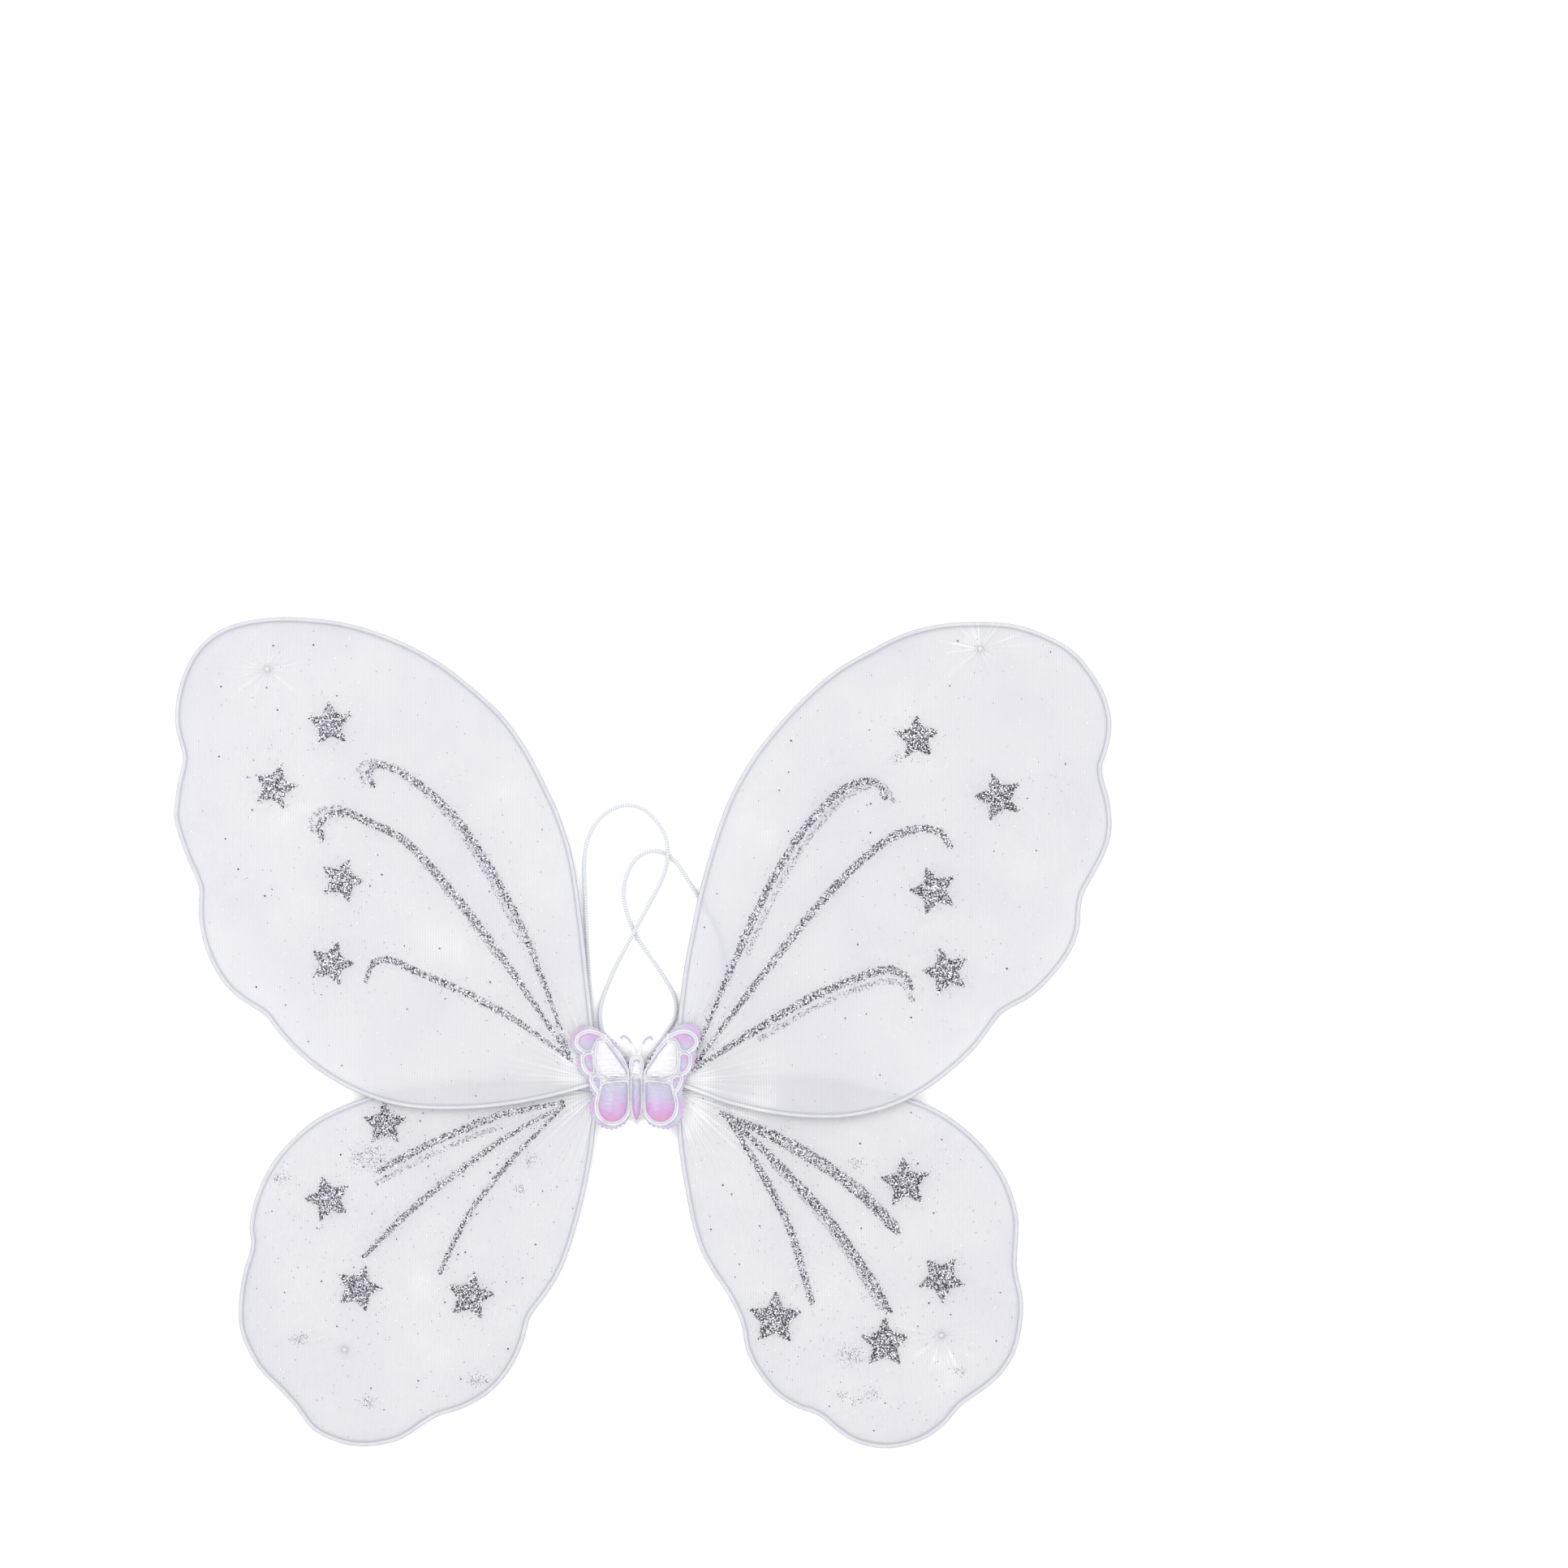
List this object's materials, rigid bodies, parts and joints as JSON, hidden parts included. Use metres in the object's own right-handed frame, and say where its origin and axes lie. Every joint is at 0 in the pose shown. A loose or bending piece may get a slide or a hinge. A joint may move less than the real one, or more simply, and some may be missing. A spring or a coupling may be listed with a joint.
{
  "type": "costume fairy wings",
  "caption": "Flat butterfly-shaped costume wings of sheer knit on bent-wire frames, with a padded butterfly in the middle and elastic shoulder loops.",
  "frame": {"origin": "middle of the back pad's flat rear face, which rests on the wearer's back or on a table", "axes": "+X to the right wings, +Y to the upper wings' tips, +Z out of the decorated side, away from the wearer"},
  "size_m": [0.4612, 0.4091, 0.0146],
  "materials": {
    "coated_wire": "white plastic-coated steel wire",
    "sheer_knit": "sheer white nylon knit with glitter",
    "white_thread": "white binding thread",
    "zinc_crimp": "zinc-plated",
    "white_felt": "white felt",
    "hot_glue": "milky hot-melt glue",
    "white_elastic": "braided round elastic",
    "pearl_film": "iridescent pearl film, pink to lilac",
    "foam": "white wadding"
  },
  "bodies": {
    "centre": {"centre_crimp": "zinc_crimp", "back_pad": "white_felt", "back_glue": "hot_glue", "front_glue": "hot_glue", "upper_left_wire_tail": "coated_wire", "lower_left_wire_tail": "coated_wire", "upper_right_wire_tail": "coated_wire", "lower_right_wire_tail": "coated_wire", "left_shoulder_elastic": "white_elastic", "left_elastic_knot": "white_elastic", "left_antenna": "pearl_film", "right_shoulder_elastic": "white_elastic", "right_elastic_knot": "white_elastic", "right_antenna": "pearl_film", "butterfly_body_backing": "white_felt", "butterfly_body_padding": "foam", "butterfly_body_film": "pearl_film"},
    "left_root": {"upper_left_twist": "coated_wire", "lower_left_twist": "coated_wire", "upper_left_neck_thread": "white_thread", "lower_left_neck_thread": "white_thread", "left_root_band": "white_thread"},
    "upper_left_wing": {"upper_left_frame_wire": "coated_wire", "upper_left_sleeve": "sheer_knit", "upper_left_sleeve_end": "sheer_knit"},
    "lower_left_wing": {"lower_left_frame_wire": "coated_wire", "lower_left_sleeve": "sheer_knit", "lower_left_sleeve_end": "sheer_knit"},
    "butterfly_left_wing": {"butterfly_left_wing_backing": "white_felt", "butterfly_left_wing_padding": "foam", "butterfly_left_wing_film": "pearl_film"},
    "right_root": {"upper_right_twist": "coated_wire", "lower_right_twist": "coated_wire", "upper_right_neck_thread": "white_thread", "lower_right_neck_thread": "white_thread", "right_root_band": "white_thread"},
    "upper_right_wing": {"upper_right_frame_wire": "coated_wire", "upper_right_sleeve": "sheer_knit", "upper_right_sleeve_end": "sheer_knit"},
    "lower_right_wing": {"lower_right_frame_wire": "coated_wire", "lower_right_sleeve": "sheer_knit", "lower_right_sleeve_end": "sheer_knit"},
    "butterfly_right_wing": {"butterfly_right_wing_backing": "white_felt", "butterfly_right_wing_padding": "foam", "butterfly_right_wing_film": "pearl_film"}
  },
  "joints": [
    {"name": "left_fold", "type": "hinge", "parent": "centre", "child": "left_root", "pos_m": [-0.0102, 0, 0.0053], "axis": [0, 1, 0], "range_deg": [0, 60]},
    {"name": "upper_left_swivel", "type": "hinge", "parent": "left_root", "child": "upper_left_wing", "pos_m": [-0.0186, 0.0025, 0.0068], "axis": [0, -0.0257, -0.9997], "range_deg": [-10, 5]},
    {"name": "lower_left_swivel", "type": "hinge", "parent": "left_root", "child": "lower_left_wing", "pos_m": [-0.0186, -0.0025, 0.0038], "axis": [0, 0.0163, -0.9999], "range_deg": [-10, 5]},
    {"name": "butterfly_left_flex", "type": "hinge", "parent": "centre", "child": "butterfly_left_wing", "pos_m": [-0.0042, 0, 0.00945], "axis": [0, 1, 0], "range_deg": [0, 60]},
    {"name": "right_fold", "type": "hinge", "parent": "centre", "child": "right_root", "pos_m": [0.0102, 0, 0.0053], "axis": [0, -1, 0], "range_deg": [0, 60]},
    {"name": "upper_right_swivel", "type": "hinge", "parent": "right_root", "child": "upper_right_wing", "pos_m": [0.0186, 0.0025, 0.0068], "axis": [0, 0.0259, 0.9997], "range_deg": [-10, 5]},
    {"name": "lower_right_swivel", "type": "hinge", "parent": "right_root", "child": "lower_right_wing", "pos_m": [0.0186, -0.0025, 0.0038], "axis": [0, -0.0162, 0.9999], "range_deg": [-10, 5]},
    {"name": "butterfly_right_flex", "type": "hinge", "parent": "centre", "child": "butterfly_right_wing", "pos_m": [0.0042, 0, 0.00945], "axis": [0, -1, 0], "range_deg": [0, 60]}
  ],
  "couplings": [
    {"joint": "butterfly_left_flex", "follows": "left_fold", "ratio": 1},
    {"joint": "butterfly_right_flex", "follows": "right_fold", "ratio": 1}
  ]
}
